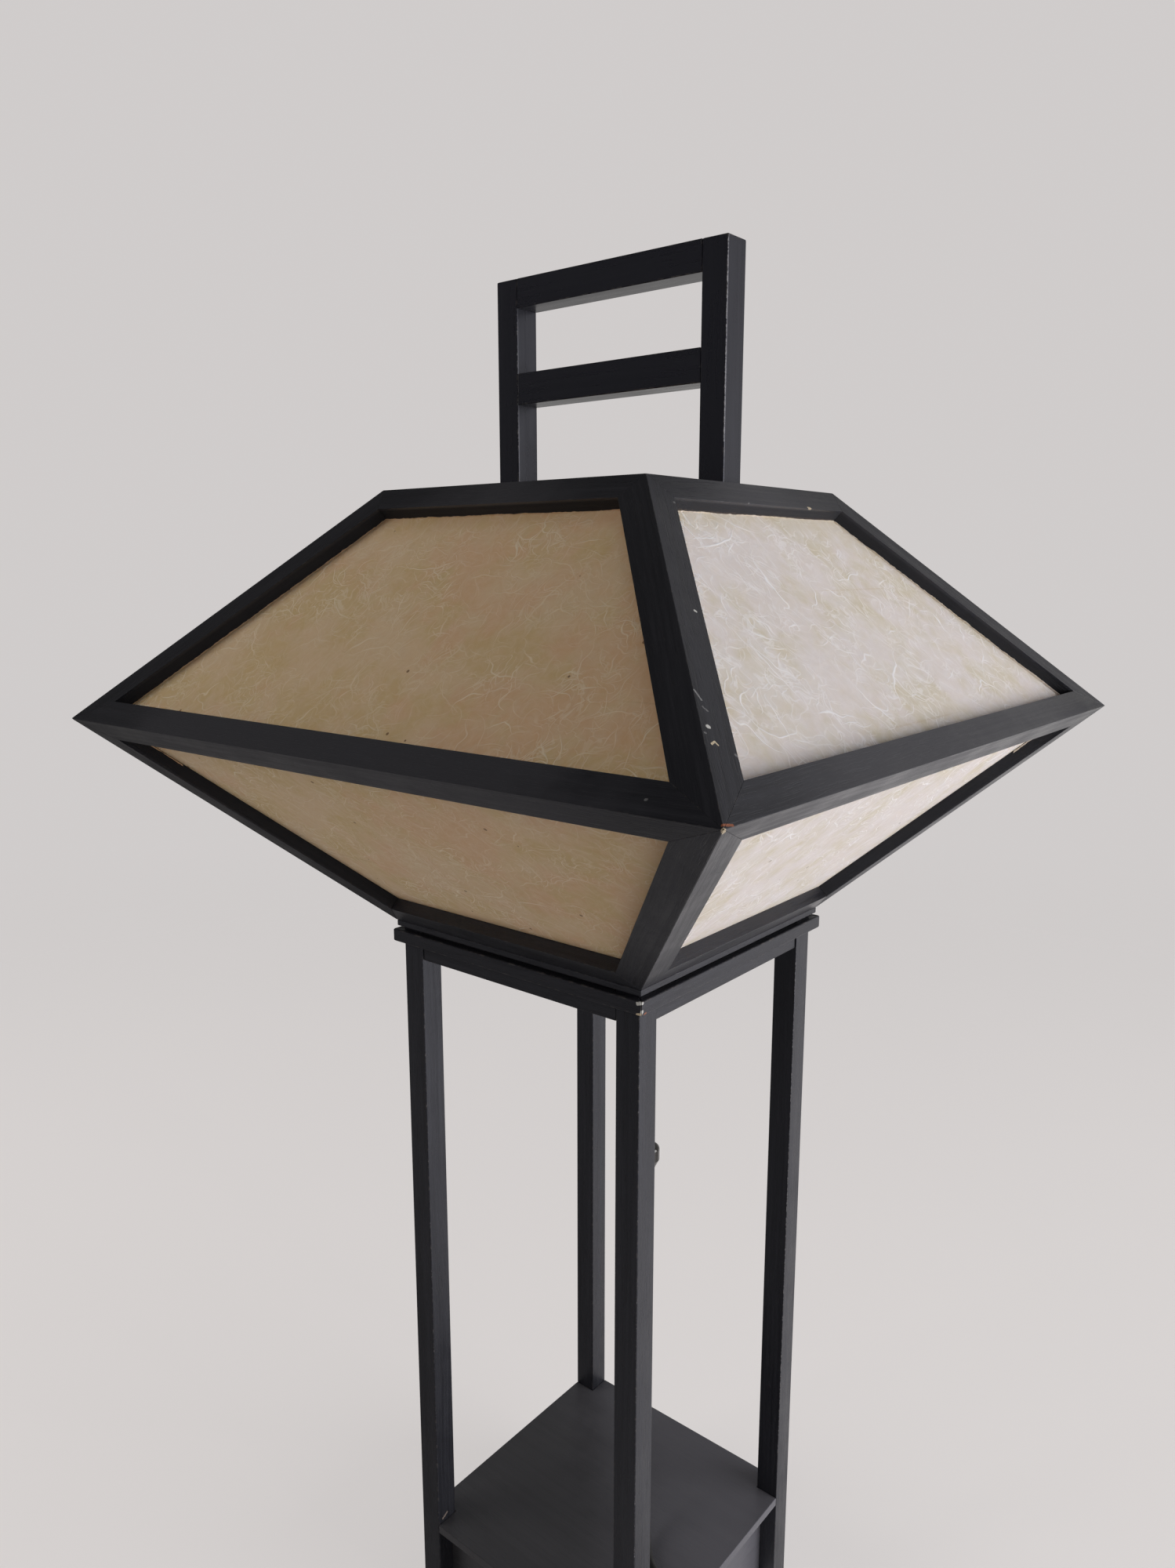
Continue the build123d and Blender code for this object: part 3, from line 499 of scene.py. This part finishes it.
def washi(name, pale, yellow, rosy, fibre, browning, edge, clean, lively, fine, thin=False):
    """Handmade paper: long pale fibres, cloudy pulp, yellowed and rosy patches and brown flecks.

    Light doesn't spread inside a thin strip of it."""
    tree = Tree(name)
    place = panel_place(tree)
    drift = tree.vector("SUBTRACT", tree.noise(place, 55.0, 1.5, 0.5, output="Color"), (0.5, 0.5, 0.5))
    curled = tree.vector("ADD", place, tree.vector("MULTIPLY", drift, (0.010, 0.010, 0.0)))
    kinked = tree.vector("ADD", place, tree.vector("MULTIPLY", drift, (0.018, 0.018, 0.0)))
    curled = tree.vector("MULTIPLY", curled, (fine, fine, 0.0))
    kinked = tree.vector("MULTIPLY", kinked, (fine, fine, 0.0))

    strong = tree.most(
        strokes(tree, curled, 0.3, 13.0, 0.036, 0.0010, 16.0, 0.50),
        strokes(tree, kinked, 5.1, 17.0, 0.028, 0.0009, 24.0, 0.45),
        strokes(tree, kinked, 9.4, 24.0, 0.019, 0.0008, 36.0, 0.40))
    medium = tree.most(
        strokes(tree, curled, 2.2, 22.0, 0.022, 0.0007, 30.0, 0.15),
        strokes(tree, kinked, 3.6, 31.0, 0.016, 0.0007, 44.0, 0.1),
        strokes(tree, curled, 7.9, 38.0, 0.013, 0.0007, 60.0, 0.0),
        strokes(tree, kinked, 6.5, 46.0, 0.011, 0.0006, 75.0, 0.0))
    weak = tree.most(
        strokes(tree, kinked, 4.4, 58.0, 0.009, 0.0006, 100.0, 0.0),
        strokes(tree, curled, 8.8, 66.0, 0.008, 0.0006, 120.0, 0.0))
    hairs = tree.ramp(tree.math("ABSOLUTE", tree.math("SUBTRACT", tree.noise(kinked, 85.0, 2.0, 0.5), 0.5)),
                      0.030, 0.004)
    clumps = tree.ramp(tree.noise(place, 26.0, 3.0, 0.6), 0.38, 0.60)
    zones = tree.ramp(tree.noise(place, 12.0, 2.0, 0.5), 0.40, 0.62, lively * lively, 1.0)
    strands = tree.most(
        tree.math("MULTIPLY", strong, lively),
        tree.math("MULTIPLY", medium, tree.math("ADD", tree.math("MULTIPLY", clumps, 0.55), 0.30)),
        tree.math("MULTIPLY", weak, tree.math("ADD", tree.math("MULTIPLY", clumps, 0.45), 0.12)),
        tree.math("MULTIPLY", hairs, tree.math("MULTIPLY", clumps, 0.35)))
    strands = tree.math("MULTIPLY", strands, zones)

    cloud = tree.noise(place, 24.0, 5.0, 0.62)
    broad = tree.noise(place, 7.0, 2.0, 0.5)
    haze = tree.noise(kinked, 120.0, 5.0, 0.7)
    patch = tree.mixture(cloud, 0.85, broad, 0.15)
    colour = tree.blend(tree.ramp(patch, 0.41, 0.60, 0.0, 0.9), pale, yellow)
    blush = tree.mixture(tree.noise(place, 9.0, 1.0), 0.4, tree.noise(place, 33.0, 3.0, 0.6), 0.6)
    blush = tree.math("ADD", blush, tree.ramp(tree.parts(tree.place)[0], -0.10, 0.12, -0.05, 0.05))
    colour = tree.blend(tree.ramp(blush, 0.47, 0.62, 0.0, 0.8), colour, rosy)
    colour = tree.blend(tree.ramp(haze, 0.35, 0.70, 0.0, 0.06 + 0.10 * lively), colour, fibre)
    laid = tree.ramp(tree.stretched(place, (3.0, 190.0, 0.0), 1.0), 0.735, 0.775)
    colour = tree.blend(tree.math("MULTIPLY", laid, 0.25), colour, browning)
    colour = tree.blend(tree.math("MULTIPLY", strands, 0.95), colour, fibre)

    # Darker and yellower beside the stiles and the neck's rail: painted shade from the slats. The opening
    # in front of the paper ends a slat's width from the hip and from the neck.
    hip_edge = WAIST_HALF - SLAT_THICKNESS / math.sqrt(2.0) - SLAT_WIDTH * math.sqrt(1.5)
    neck_edge = SLOPE_RUN - (SLAT_THICKNESS + SLAT_WIDTH) / math.sqrt(2.0)
    x, y, z = tree.parts(tree.place)
    drop = tree.math("ABSOLUTE", tree.math("SUBTRACT", z, WAIST_LEVEL))
    across = tree.math("MINIMUM", tree.math("ABSOLUTE", x), tree.math("ABSOLUTE", y))
    to_hip = tree.math("SUBTRACT", tree.math("SUBTRACT", hip_edge, drop), across)
    to_neck = tree.math("SUBTRACT", neck_edge, drop)
    near = tree.math("ADD", tree.math("MINIMUM", to_hip, to_neck), tree.swing(cloud, 0.030))
    colour = tree.blend(tree.ramp(near, 0.010, -0.001, 0.0, 0.38), colour, edge)

    cell = tree.add("TexVoronoi", {"voronoi_dimensions": "2D"}, Vector=place, Scale=70.0)
    chance = tree.add("SeparateColor", Color=cell.outputs["Color"]).outputs[0]
    size = tree.ramp(chance, clean, 1.0, 0.02, 0.07)
    fleck = tree.math("MULTIPLY", tree.math("LESS_THAN", cell.outputs["Distance"], size),
                      tree.math("GREATER_THAN", chance, clean))
    colour = tree.blend(tree.math("MULTIPLY", fleck, 0.75), colour, (0.11, 0.055, 0.028))

    height = tree.math("ADD", strands, tree.math("MULTIPLY", haze, 0.5))
    sagging = tree.bump(broad, 0.30, 0.008)
    normal = tree.bump(height, 0.35, 0.0004, sagging)
    return tree.finish(Base_Color=colour, Roughness=0.85, Normal=normal, Specular_IOR_Level=0.25,
                       Subsurface_Weight=0.0 if thin else 0.9, Subsurface_Radius=(1.0, 0.84, 0.68),
                       Subsurface_Scale=0.0022)


def phenolic(name):
    """Pressed black phenolic: glossy, with a faint mottle and fine scuffs."""
    tree = Tree(name)
    mottle = tree.noise(tree.place, 180.0, 4.0, 0.6)
    scuffs = tree.ramp(tree.stretched(tree.place, (260.0, 260.0, 40.0), 5.0, 0.7), 0.45, 0.75)
    colour = tree.blend(mottle, (0.010, 0.0095, 0.009), (0.024, 0.021, 0.019))
    return tree.finish(Base_Color=colour, Roughness=tree.ramp(scuffs, 0.0, 1.0, 0.18, 0.42),
                       Normal=tree.bump(mottle, 0.10, 0.0002), IOR=1.6)


def laminate():
    """The lampholder's insulating insert: brown paper laminate."""
    tree = Tree("insulator_laminate")
    layers = tree.stretched(tree.place, (90.0, 90.0, 1400.0), 3.0)
    colour = tree.blend(layers, (0.10, 0.045, 0.020), (0.19, 0.095, 0.045))
    return tree.finish(Base_Color=colour, Roughness=0.5, Normal=tree.bump(layers, 0.2, 0.0002))


def rolled_metal(name, dull, bright):
    """Bare rolled metal with the ridges of its thread."""
    tree = Tree(name)
    stain = tree.noise(tree.place, 120.0, 4.0, 0.65)
    colour = tree.blend(tree.ramp(stain, 0.35, 0.7), bright, dull)
    ridges = tree.waves(tree.parts(tree.place)[2], THREAD_PITCH)
    return tree.finish(Base_Color=colour, Metallic=1.0, Roughness=tree.ramp(stain, 0.3, 0.7, 0.24, 0.45),
                       Normal=tree.bump(ridges, 0.8, 0.0005))


def cord_sheath(name):
    """The mains cord's round sheath, matt, with a faint handling shine and dust."""
    tree = Tree(name)
    dust = tree.noise(tree.place, 90.0, 5.0, 0.7)
    fine = tree.noise(tree.place, 1500.0, 2.0)
    colour = tree.blend(tree.ramp(dust, 0.45, 0.75, 0.0, 0.6), (0.014, 0.014, 0.015), (0.050, 0.047, 0.044))
    return tree.finish(Base_Color=colour, Roughness=tree.ramp(dust, 0.3, 0.7, 0.38, 0.60),
                       Normal=tree.bump(fine, 0.15, 0.0001))


def braid(name):
    """The pull string: a tight braid of thin dark strands."""
    tree = Tree(name)
    x, y, z = tree.parts(tree.place)
    angle = tree.math("ARCTAN2", tree.math("SUBTRACT", y, PULL), tree.math("SUBTRACT", x, PULL))
    climb = tree.math("MULTIPLY", z, 2.0 * math.pi / BRAID_PITCH)
    round_it = tree.math("MULTIPLY", angle, 3.0)
    weave = tree.most(*(tree.math("SINE", tree.math(way, round_it, climb)) for way in ("ADD", "SUBTRACT")))
    fuzz = tree.noise(tree.place, 2500.0, 3.0)
    colour = tree.blend(tree.ramp(weave, -0.4, 1.0), (0.012, 0.011, 0.010), (0.055, 0.050, 0.045))
    height = tree.math("ADD", weave, fuzz)
    return tree.finish(Base_Color=colour, Roughness=0.8, Normal=tree.bump(height, 0.8, 0.0003))


def plug_look():
    """Moulded plastic, ribbed along its grip, with two bare brass blades."""
    tree = Tree("plug_moulding")
    y = tree.parts(tree.place)[1]
    blade = tree.math("GREATER_THAN", y, PLUG_BLADES_FROM)
    grain = tree.noise(tree.place, 1100.0, 2.0)
    scratches = tree.stretched(tree.place, (900.0, 60.0, 900.0), 3.0)
    start, end = PLUG_GRIP
    fade = 0.0005
    begun = tree.ramp(y, start - fade, start + fade)
    ribbed = tree.math("MULTIPLY", begun, tree.ramp(y, end + fade, end - fade))
    ribs = tree.math("MULTIPLY", tree.waves(y, GRIP_RIB_PITCH), ribbed)
    colour = tree.blend(blade, (0.016, 0.016, 0.017), (0.80, 0.62, 0.34))
    roughness = tree.blend(blade, (0.48, 0.48, 0.48), tree.ramp(scratches, 0.3, 0.7, 0.2, 0.42))
    normal = tree.bump(tree.mixture(ribs, 0.8, grain, 0.15), 0.7, 0.0006)
    return tree.finish(Base_Color=colour, Metallic=blade, Roughness=roughness, Normal=normal)


def rubber(name):
    """Soft black rubber of the strain relief, with moulded ribs."""
    tree = Tree(name)
    z = tree.parts(tree.place)[2]
    below = tree.ramp(z, BUSH_RIBS_TOP + 0.0005, BUSH_RIBS_TOP - 0.0005)
    ribs = tree.math("MULTIPLY", tree.waves(z, THREAD_PITCH), below)
    bloom = tree.noise(tree.place, 200.0, 4.0, 0.6)
    colour = tree.blend(bloom, (0.012, 0.012, 0.012), (0.034, 0.033, 0.032))
    return tree.finish(Base_Color=colour, Roughness=0.62, Normal=tree.bump(ribs, 0.8, 0.0006))


def opal_glass():
    """The bulb: frosted glass with a rolled cap."""
    tree = Tree("bulb_opal")
    z = tree.parts(tree.place)[2]
    cap = tree.math("LESS_THAN", z, BULB_CAP_TOP)
    dust = tree.noise(tree.place, 60.0, 4.0, 0.6)
    colour = tree.blend(tree.ramp(dust, 0.4, 0.8), (0.80, 0.79, 0.76), (0.66, 0.64, 0.59))
    colour = tree.blend(cap, colour, (0.55, 0.54, 0.52))
    roughness = tree.blend(cap, tree.ramp(dust, 0.3, 0.7, 0.22, 0.38), (0.33, 0.33, 0.33))
    ridges = tree.math("MULTIPLY", tree.waves(z, THREAD_PITCH), cap)
    return tree.finish(Base_Color=colour, Metallic=cap, Roughness=roughness,
                       Normal=tree.bump(ridges, 0.7, 0.0005), Subsurface_Weight=0.3,
                       Subsurface_Radius=(1.0, 1.0, 0.9), Subsurface_Scale=0.003)


# Dressing the CAD nodes ----------------------------------------------------------------------


def dress(node, *materials):
    """Gives a CAD node its materials."""
    slots = nodes[node].data.materials
    slots.clear()
    for material in materials:
        slots.append(material)


def solids(mesh):
    """The vertices of each closed solid in a CAD mesh, which holds them one after the other."""
    places = [tuple(round(value * 1e6) for value in vertex.co) for vertex in mesh.vertices]
    found, members, open_edges = [], set(), set()
    for polygon in mesh.polygons:
        corners = list(polygon.vertices)
        members.update(corners)
        for first, second in zip(corners, corners[1:] + corners[:1]):
            edge = (places[first], places[second])
            if edge[::-1] in open_edges:
                open_edges.remove(edge[::-1])
            else:
                open_edges.add(edge)
        if not open_edges:
            found.append(sorted(members))
            members = set()
    return found


def soften(node, width):
    """Rounds a wooden piece's arrises a little, inside its own shape."""
    obj = nodes[node]
    for number, members in enumerate(solids(obj.data)):
        group = obj.vertex_groups.new(name=f"solid_{number}")
        group.add(members, 1.0, "ADD")
        weld = obj.modifiers.new(f"weld_{number}", "WELD")
        weld.merge_threshold = 0.00001
        weld.vertex_group = group.name
    flat = obj.modifiers.new("flat", "DECIMATE")
    flat.decimate_type = "DISSOLVE"
    flat.angle_limit = math.radians(0.5)
    bevel = obj.modifiers.new("bevel", "BEVEL")
    bevel.width = width
    bevel.segments = 2
    bevel.limit_method = "ANGLE"
    bevel.angle_limit = math.radians(25.0)
    bevel.material = 1
    obj.modifiers.new("normals", "WEIGHTED_NORMAL")


made = {}  # the woods' materials by label


def dress_wood(node, key, direction, width, **look):
    """Wood with its grain along the direction; a marked piece gets its own material.

    width is how far its arrises are rounded."""
    marks = marks_on(*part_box(node))
    label = f"{node}_paint" if marks else f"paint_{key}"
    if label not in made:
        made[label] = (wood(label, direction, False, marks, **look),
                       wood(f"{label}_edge", direction, True, marks, **look))
    dress(node, *made[label])
    soften(node, width)


def margin_corners(inset):
    """The corners of a slope's opening, as (along, up the slope), anticlockwise from the waist's left.

    On the slope, a hip leans inwards by 1 in the square root of 2, so its stile's inner side is
    the square root of 1.5 insets along from it."""
    low, high = inset, SLOPE_RUN * math.sqrt(2.0) - inset
    wide, narrow = (WAIST_HALF - up / math.sqrt(2.0) - inset * math.sqrt(1.5) for up in (low, high))
    return [(-wide, low), (wide, low), (narrow, high), (-narrow, high)]


# How far a torn margin stands up the slats: at the waist rail, the right stile's foot and head,
# the neck's rail, and the left stile's head and foot
BRIGHT_HEIGHTS = (0.0007, 0.0010, 0.0006, 0.0005, 0.0004, 0.0022)
SHADED_SIDE_HEIGHTS = (0.0005, 0.0007, 0.0004, 0.0004, 0.0004, 0.0006)
LEAST_HEIGHT, MOST_HEIGHT = 0.00015, 0.0050


def paper_margin(level, side, paper, heights):
    """The paper's torn margin, pasted up the slats' inner sides all round one opening."""
    rise = 1.0 if level == "upper" else -1.0
    turn = SIDES.index(side) * math.pi / 2.0
    seed = 10.0 * SIDES.index(side) + (5.0 if level == "upper" else 0.0)
    waist, right_foot, right_head, neck, left_head, left_foot = heights
    ends = [(waist, waist), (right_foot, right_head), (neck, neck), (left_head, left_foot)]
    outside = margin_corners(SLAT_WIDTH + MARGIN_GAP)
    inside = margin_corners(SLAT_WIDTH + MARGIN_GAP + MARGIN_THICKNESS)
    bottom = SLAT_THICKNESS - 0.00003  # just clear of the paper

    def placed(along, up, depth):
        flat = Vector((along, -WAIST_HALF + (up + depth) / math.sqrt(2.0), 0.0))
        x, y = flat.x, flat.y
        return (x * math.cos(turn) - y * math.sin(turn), x * math.sin(turn) + y * math.cos(turn),
                WAIST_LEVEL + rise * (up - depth) / math.sqrt(2.0))

    rings = []
    for number in range(4):
        following = (number + 1) % 4
        steps = round(math.dist(outside[number], outside[following]) / MARGIN_STEP)
        for step in range(steps):
            share = step / steps
            outer, inner = (
                [a + share * (b - a) for a, b in zip(corners[number], corners[following])]
                for corners in (outside, inside))
            first, last = ends[number]
            height = first + share * (last - first)
            spot = Vector((outer[0], outer[1], seed))
            height *= 1.0 + 0.8 * noise.noise(spot * 45.0)
            height += 0.0004 * noise.noise(spot * 260.0) + 0.0003 * noise.noise(spot * 900.0)
            height = min(max(height, LEAST_HEIGHT), MOST_HEIGHT)
            rings.append([(*outer, bottom), (*outer, bottom - height),
                          (*inner, bottom - height * 0.96), (*inner, bottom)])
    work = bmesh.new()
    corners = [[work.verts.new(placed(*corner)) for corner in ring] for ring in rings]
    for ring, following in zip(corners, corners[1:] + corners[:1]):
        for number in range(4):
            after = (number + 1) % 4
            work.faces.new((ring[number], ring[after], following[after], following[number]))
    bmesh.ops.recalc_face_normals(work, faces=work.faces)
    mesh = bpy.data.meshes.new(f"paper_margin_{level}_{side}")
    work.to_mesh(mesh)
    work.free()
    margin = bpy.data.objects.new(mesh.name, mesh)
    bpy.context.scene.collection.objects.link(margin)
    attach(margin, "shade")
    mesh.materials.append(paper)


def dress_all():
    """Every CAD node that shows."""
    x, y, z = (1.0, 0.0, 0.0), (0.0, 1.0, 0.0), (0.0, 0.0, 1.0)
    for side in SIDES:
        along = ("x", x) if side in ("front", "back") else ("y", y)
        dress_wood(f"top_rail_{side}", f"slat_{along[0]}", along[1], 0.00018, slat=True)
        dress_wood(f"waist_rails_{side}", f"slat_{along[0]}", along[1], 0.0002, slat=True)
        dress_wood(f"bottom_rail_{side}", *along, 0.0003)
        dress_wood(f"stand_rail_{side}", *along, 0.0006)
        dress_wood(f"base_panel_{side}", f"base_{along[0]}", along[1], 0.0004, tones=SHELF_PAINT)
    for corner, (right, back) in CORNERS.items():
        dress_wood(f"stand_post_{corner}", "post", z, 0.0008, tones=POST_PAINT)
        upper = (-right, -back, 1.0)
        lower = (-right, -back, -1.0)
        dress_wood(f"upper_hip_{corner}", f"upper_{corner}", upper, 0.00018, slat=True)
        dress_wood(f"lower_hip_{corner}", f"lower_{corner}", lower, 0.0003, slat=True)
    for node in ("handle_post_left", "handle_post_right"):
        dress_wood(node, "handle_z", z, 0.0009, tones=HANDLE_PAINT)
    for node in ("handle_top_bar", "handle_middle_bar"):
        dress_wood(node, "handle_x", x, 0.0007, tones=HANDLE_PAINT)
    dress_wood("handle_cleats", "y", y, 0.0005)
    dress_wood("shelf", "shelf", x, 0.0005, tones=SHELF_PAINT)
    dress_wood("top_board", "x", x, 0.0004)
    dress_wood("cap_mouldings", "round", None, 0.0008)
    dress_wood("shade_foot_frame", "round", None, 0.0003)
    papers = {}
    for key, look in (("bright", BRIGHT_PAPER), ("shaded", SHADED_SIDE_PAPER)):
        papers[key] = (washi(f"washi_{key}", **look), washi(f"washi_margin_{key}", thin=True, **look))
    for side in SIDES:
        lit = side in ("right", "back")
        # The front and left sheets take the darker, warmer copy: painted shade
        paper, strip = papers["bright" if lit else "shaded"]
        for level in ("upper", "lower"):
            dress(f"paper_{level}_{side}", paper)
            paper_margin(level, side, strip, BRIGHT_HEIGHTS if lit else SHADED_SIDE_HEIGHTS)
    dress("lampholder_cup", phenolic("cup_phenolic"))
    dress("pull_knob", phenolic("knob_phenolic"))
    dress("lampholder_insert", laminate())
    dress("lampholder_shell", rolled_metal("shell_brass", (0.42, 0.28, 0.12), (0.78, 0.60, 0.30)))
    dress("lampholder_screws", rolled_metal("screw_zinc", (0.34, 0.33, 0.31), (0.62, 0.62, 0.61)))
    dress("cord_bush", rubber("bush_rubber"))
    dress("plug", plug_look())
    dress("bulb", opal_glass())


# Studio --------------------------------------------------------------------------------------


def make_light(name, place, size, power, colour, mirrored=True):
    """A large soft rectangle of light, turned to the lamp. Gloss shows it only if it is mirrored."""
    data = bpy.data.lights.new(name, "AREA")
    data.shape = "RECTANGLE"
    data.size, data.size_y = size
    data.energy = power
    data.color = colour
    light = bpy.data.objects.new(name, data)
    light.location = place
    light.rotation_mode = "QUATERNION"
    light.rotation_quaternion = (Vector(LIGHTS_AIM) - Vector(place)).to_track_quat("-Z", "Y")
    light.visible_glossy = mirrored
    bpy.context.scene.collection.objects.link(light)


def make_floor():
    """A plain pale floor that fades into the background. In reflections it glows, brighter towards the
    window side: a painted reflection.
    """
    mesh = bpy.data.meshes.new("floor")
    work = bmesh.new()
    bmesh.ops.create_circle(work, cap_ends=True, radius=FLOOR_RADIUS, segments=96)
    work.to_mesh(mesh)
    work.free()
    floor = bpy.data.objects.new("floor", mesh)
    bpy.context.scene.collection.objects.link(floor)
    tree = Tree("floor_paint")
    uneven = tree.noise(tree.place, 3.0, 3.0)
    paint = tree.blend(uneven, (0.77, 0.745, 0.735), (0.81, 0.785, 0.775))
    shader = tree.add("BsdfPrincipled", Base_Color=paint, Roughness=0.7, Specular_IOR_Level=0.2)
    paths = tree.add("LightPath").outputs
    # Painted reflection: for glossy rays the floor glows, brighter towards the window side
    side = tree.vector("DOT_PRODUCT", tree.place, BRIGHT_SIDE)
    mirrored = tree.ramp(side, -0.25, 0.35, 0.12, 1.0)
    seen = tree.most(paths["Is Camera Ray"], paths["Is Transmission Ray"])
    strength = tree.math("ADD", seen, tree.math("MULTIPLY", paths["Is Glossy Ray"], mirrored))
    plain = tree.add("Emission", Color=(0.90, 0.865, 0.86), Strength=strength)
    share = tree.most(tree.math("MULTIPLY", seen, 0.55), tree.math("MULTIPLY", paths["Is Glossy Ray"], 0.8))
    lit = tree.add("MixShader", Fac=share)
    tree.tree.links.new(shader.outputs[0], lit.inputs[1])
    tree.tree.links.new(plain.outputs[0], lit.inputs[2])
    away = tree.vector("LENGTH", tree.place)
    clear = tree.add("BsdfTransparent")
    mix = tree.add("MixShader", Fac=tree.ramp(away, *FLOOR_FADES))
    tree.tree.links.new(lit.outputs[0], mix.inputs[1])
    tree.tree.links.new(clear.outputs[0], mix.inputs[2])
    output = tree.add("OutputMaterial")
    tree.tree.links.new(mix.outputs[0], output.inputs["Surface"])
    mesh.materials.append(tree.material)


def make_world():
    """A pale room lit from the back and the right, and the photograph's wall behind the object."""
    world = bpy.data.worlds.new("world")
    bpy.context.scene.world = world
    world.use_nodes = True
    tree = world.node_tree
    tree.nodes.clear()

    def add(kind, operation=None, **values):
        node = tree.nodes.new("ShaderNode" + kind)
        if operation:
            node.operation = operation
        for key, value in values.items():
            node.inputs[key.replace("_", " ")].default_value = value
        return node

    paths = add("LightPath")
    seen = add("Math", "MAXIMUM")
    tree.links.new(paths.outputs["Is Camera Ray"], seen.inputs[0])
    tree.links.new(paths.outputs["Is Transmission Ray"], seen.inputs[1])
    towards = add("VectorMath", "DOT_PRODUCT")
    direction = add("TexCoord").outputs["Generated"]
    tree.links.new(direction, towards.inputs[0])
    towards.inputs[1].default_value = BRIGHT_SIDE
    share = add("MapRange", None, From_Min=-0.35, From_Max=0.45, To_Min=ROOM_DARK, To_Max=ROOM_BRIGHT)
    share.interpolation_type = "SMOOTHSTEP"
    tree.links.new(towards.outputs["Value"], share.inputs["Value"])
    parts = add("SeparateXYZ")
    tree.links.new(direction, parts.inputs[0])
    above = add("MapRange", None, From_Min=-0.15, From_Max=0.40, To_Min=1.0, To_Max=ROOM_ABOVE)
    above.interpolation_type = "SMOOTHSTEP"
    tree.links.new(parts.outputs["Z"], above.inputs["Value"])
    strength = add("Math", "MULTIPLY")
    tree.links.new(share.outputs["Result"], strength.inputs[0])
    tree.links.new(above.outputs["Result"], strength.inputs[1])
    light = add("Background", None, Color=(1.0, 0.975, 0.955, 1.0))
    tree.links.new(strength.outputs[0], light.inputs["Strength"])
    wall = add("Background", None, Color=(0.63, 0.605, 0.60, 1.0), Strength=1.0)
    mix = add("MixShader")
    output = add("OutputWorld")
    tree.links.new(seen.outputs[0], mix.inputs[0])
    tree.links.new(light.outputs[0], mix.inputs[1])
    tree.links.new(wall.outputs[0], mix.inputs[2])
    tree.links.new(mix.outputs[0], output.inputs["Surface"])


make_camera()
make_cords()
dress_all()
make_light("window", (2.3, 0.6, 0.65), size=(1.8, 1.8), power=55.0, colour=(1.0, 0.975, 0.97))
make_light("room", (-1.6, -1.7, 1.5), size=(1.6, 1.2), power=24.5, colour=(1.0, 0.95, 0.90), mirrored=False)
make_floor()
make_world()
bpy.context.scene.view_settings.view_transform = "Standard"

bpy.context.view_layer.update()
